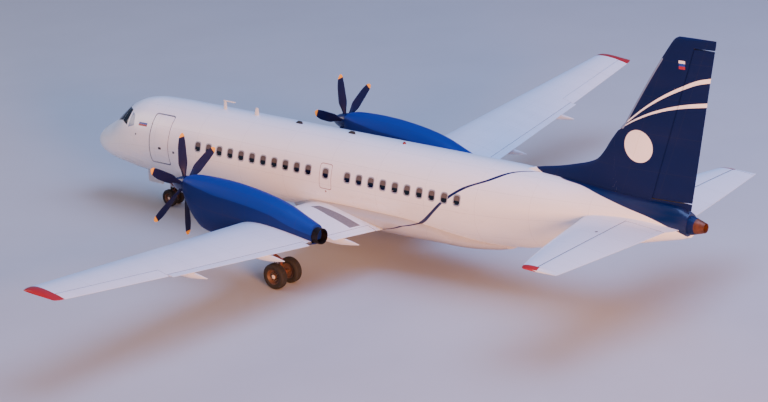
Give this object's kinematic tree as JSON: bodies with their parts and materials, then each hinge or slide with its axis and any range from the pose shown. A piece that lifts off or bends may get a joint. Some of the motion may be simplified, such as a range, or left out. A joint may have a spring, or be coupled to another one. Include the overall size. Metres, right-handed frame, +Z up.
{
  "type": "twin-turboprop airliner",
  "caption": "Low-wing regional airliner parked on its gear, with turning propellers and wheels, steering, flaps, control surfaces and a door that swings out and forwards.",
  "frame": {"origin": "on the ground under the aircraft, midway between the nose tip and the rudder's aft edge, and between the wing tips", "axes": "+Z up, +X to the left wing tip, -Y towards the nose"},
  "size_m": [30, 26.88, 9.19],
  "materials": {
    "white_paint": "gloss white paint on riveted skin",
    "blue_paint": "gloss deep blue paint",
    "grey_paint": "satin pale grey paint",
    "red_paint": "gloss red paint",
    "blade_paint": "satin navy paint with yellow tips",
    "gear_steel": "painted steel and forged alloy",
    "engine_casing": "plain casing",
    "heat_tinted_steel": "heat tinted steel",
    "tyre_rubber": "matt black rubber"
  },
  "bodies": {
    "airframe": {"radome": "white_paint", "fuselage_front": "white_paint", "fuselage_mid": "white_paint", "fuselage_rear": "white_paint", "belly_fairing": "white_paint", "nose_gear_door_left": "white_paint", "nose_gear_door_right": "white_paint", "fin": "blue_paint", "cowl_left": "blue_paint", "cowl_right": "blue_paint", "nacelle_left": "blue_paint", "nacelle_right": "blue_paint", "main_gear_door_inner_left": "blue_paint", "main_gear_door_inner_right": "blue_paint", "main_gear_door_outer_left": "blue_paint", "main_gear_door_outer_right": "blue_paint", "wing_left": "grey_paint", "wing_right": "grey_paint", "tailplane_left": "grey_paint", "tailplane_right": "grey_paint", "wing_tip_left": "red_paint", "wing_tip_right": "red_paint", "main_leg_left": "gear_steel", "main_leg_right": "gear_steel", "nose_leg": "gear_steel", "engine_left": "engine_casing", "engine_right": "engine_casing", "exhaust_left": "heat_tinted_steel", "exhaust_right": "heat_tinted_steel", "tail_nozzle": "heat_tinted_steel"},
    "passenger_door_arm": {"passenger_door_arm": "gear_steel"},
    "passenger_door": {"passenger_door": "white_paint"},
    "propeller_left": {"propeller_left": "blade_paint", "spinner_left": "blue_paint"},
    "propeller_right": {"propeller_right": "blade_paint", "spinner_right": "blue_paint"},
    "main_wheels_left": {"main_wheels_left": "gear_steel", "main_tyre_left_a": "tyre_rubber", "main_tyre_left_b": "tyre_rubber"},
    "main_wheels_right": {"main_wheels_right": "gear_steel", "main_tyre_right_a": "tyre_rubber", "main_tyre_right_b": "tyre_rubber"},
    "nose_steering": {"nose_fork": "gear_steel"},
    "nose_wheels": {"nose_wheels": "gear_steel", "nose_tyre_a": "tyre_rubber", "nose_tyre_b": "tyre_rubber"},
    "rudder": {"rudder": "blue_paint"},
    "elevator_left": {"elevator_left": "grey_paint"},
    "elevator_right": {"elevator_right": "grey_paint"},
    "aileron_left": {"aileron_left": "grey_paint"},
    "aileron_right": {"aileron_right": "grey_paint"},
    "flap_inner_left": {"flap_inner_left": "grey_paint"},
    "flap_inner_right": {"flap_inner_right": "grey_paint"},
    "flap_outer_left": {"flap_outer_left": "grey_paint"},
    "flap_outer_right": {"flap_outer_right": "grey_paint"}
  },
  "joints": [
    {"name": "propeller_left_spin", "type": "hinge", "parent": "airframe", "child": "propeller_left", "pos_m": [4.2, -5.1, 2.82], "axis": [0, -1, 0], "continuous": true},
    {"name": "propeller_right_spin", "type": "hinge", "parent": "airframe", "child": "propeller_right", "pos_m": [-4.2, -5.1, 2.82], "axis": [0, -1, 0], "continuous": true},
    {"name": "main_wheels_left_roll", "type": "hinge", "parent": "airframe", "child": "main_wheels_left", "pos_m": [4.2, -0.86, 0.44], "axis": [1, 0, 0], "continuous": true},
    {"name": "main_wheels_right_roll", "type": "hinge", "parent": "airframe", "child": "main_wheels_right", "pos_m": [-4.2, -0.86, 0.44], "axis": [1, 0, 0], "continuous": true},
    {"name": "nose_steer", "type": "hinge", "parent": "airframe", "child": "nose_steering", "pos_m": [0, -10.07, 0.32], "axis": [0, 0, 1], "range_deg": [-55, 55]},
    {"name": "nose_wheels_roll", "type": "hinge", "parent": "nose_steering", "child": "nose_wheels", "pos_m": [0, -9.99, 0.32], "axis": [1, 0, 0], "continuous": true},
    {"name": "rudder_hinge", "type": "hinge", "parent": "airframe", "child": "rudder", "pos_m": [0, 11.9134, 6.3], "axis": [0, 0.301, 0.9536], "range_deg": [-25, 25]},
    {"name": "elevator_left_hinge", "type": "hinge", "parent": "airframe", "child": "elevator_left", "pos_m": [3.1, 10.61, 3.15], "axis": [1, 0, 0], "range_deg": [-20, 27]},
    {"name": "elevator_right_hinge", "type": "hinge", "parent": "airframe", "child": "elevator_right", "pos_m": [-3.1, 10.61, 3.15], "axis": [1, 0, 0], "range_deg": [-20, 27]},
    {"name": "aileron_left_hinge", "type": "hinge", "parent": "airframe", "child": "aileron_left", "pos_m": [12.65, -0.1707, 2.9112], "axis": [0.9908, -0.0645, 0.119], "range_deg": [-20, 20]},
    {"name": "aileron_right_hinge", "type": "hinge", "parent": "airframe", "child": "aileron_right", "pos_m": [-12.65, -0.1707, 2.9112], "axis": [0.9908, 0.0645, -0.119], "range_deg": [-20, 20]},
    {"name": "flap_outer_left_hinge", "type": "hinge", "parent": "airframe", "child": "flap_outer_left", "pos_m": [7.6, -0.0119, 2.0093], "axis": [-0.991, 0.0423, -0.1267], "range_deg": [0, 30]},
    {"name": "flap_outer_right_hinge", "type": "hinge", "parent": "airframe", "child": "flap_outer_right", "pos_m": [-7.6, -0.0119, 2.0093], "axis": [-0.991, -0.0423, 0.1267], "range_deg": [0, 30]},
    {"name": "flap_inner_left_hinge", "type": "hinge", "parent": "airframe", "child": "flap_inner_left", "pos_m": [2.7, 0.1972, 1.3826], "axis": [-0.991, 0.0423, -0.1267], "range_deg": [0, 30]},
    {"name": "flap_inner_right_hinge", "type": "hinge", "parent": "airframe", "child": "flap_inner_right", "pos_m": [-2.7, 0.1972, 1.3826], "axis": [-0.991, -0.0423, 0.1267], "range_deg": [0, 30]},
    {"name": "passenger_door_swing", "type": "hinge", "parent": "airframe", "child": "passenger_door_arm", "pos_m": [1.28, -9.515, 2.66], "axis": [0, 0, -1], "range_deg": [0, 147]},
    {"name": "passenger_door_parallel", "type": "hinge", "parent": "passenger_door_arm", "child": "passenger_door", "pos_m": [1.35, -9.015, 2.66], "axis": [0, 0, -1], "range_deg": [-147, 0]}
  ],
  "couplings": [
    {"joint": "elevator_right_hinge", "follows": "elevator_left_hinge", "ratio": 1},
    {"joint": "aileron_right_hinge", "follows": "aileron_left_hinge", "ratio": -1},
    {"joint": "flap_outer_right_hinge", "follows": "flap_outer_left_hinge", "ratio": 1},
    {"joint": "flap_inner_left_hinge", "follows": "flap_outer_left_hinge", "ratio": 1},
    {"joint": "flap_inner_right_hinge", "follows": "flap_outer_left_hinge", "ratio": 1},
    {"joint": "passenger_door_parallel", "follows": "passenger_door_swing", "ratio": -1}
  ]
}
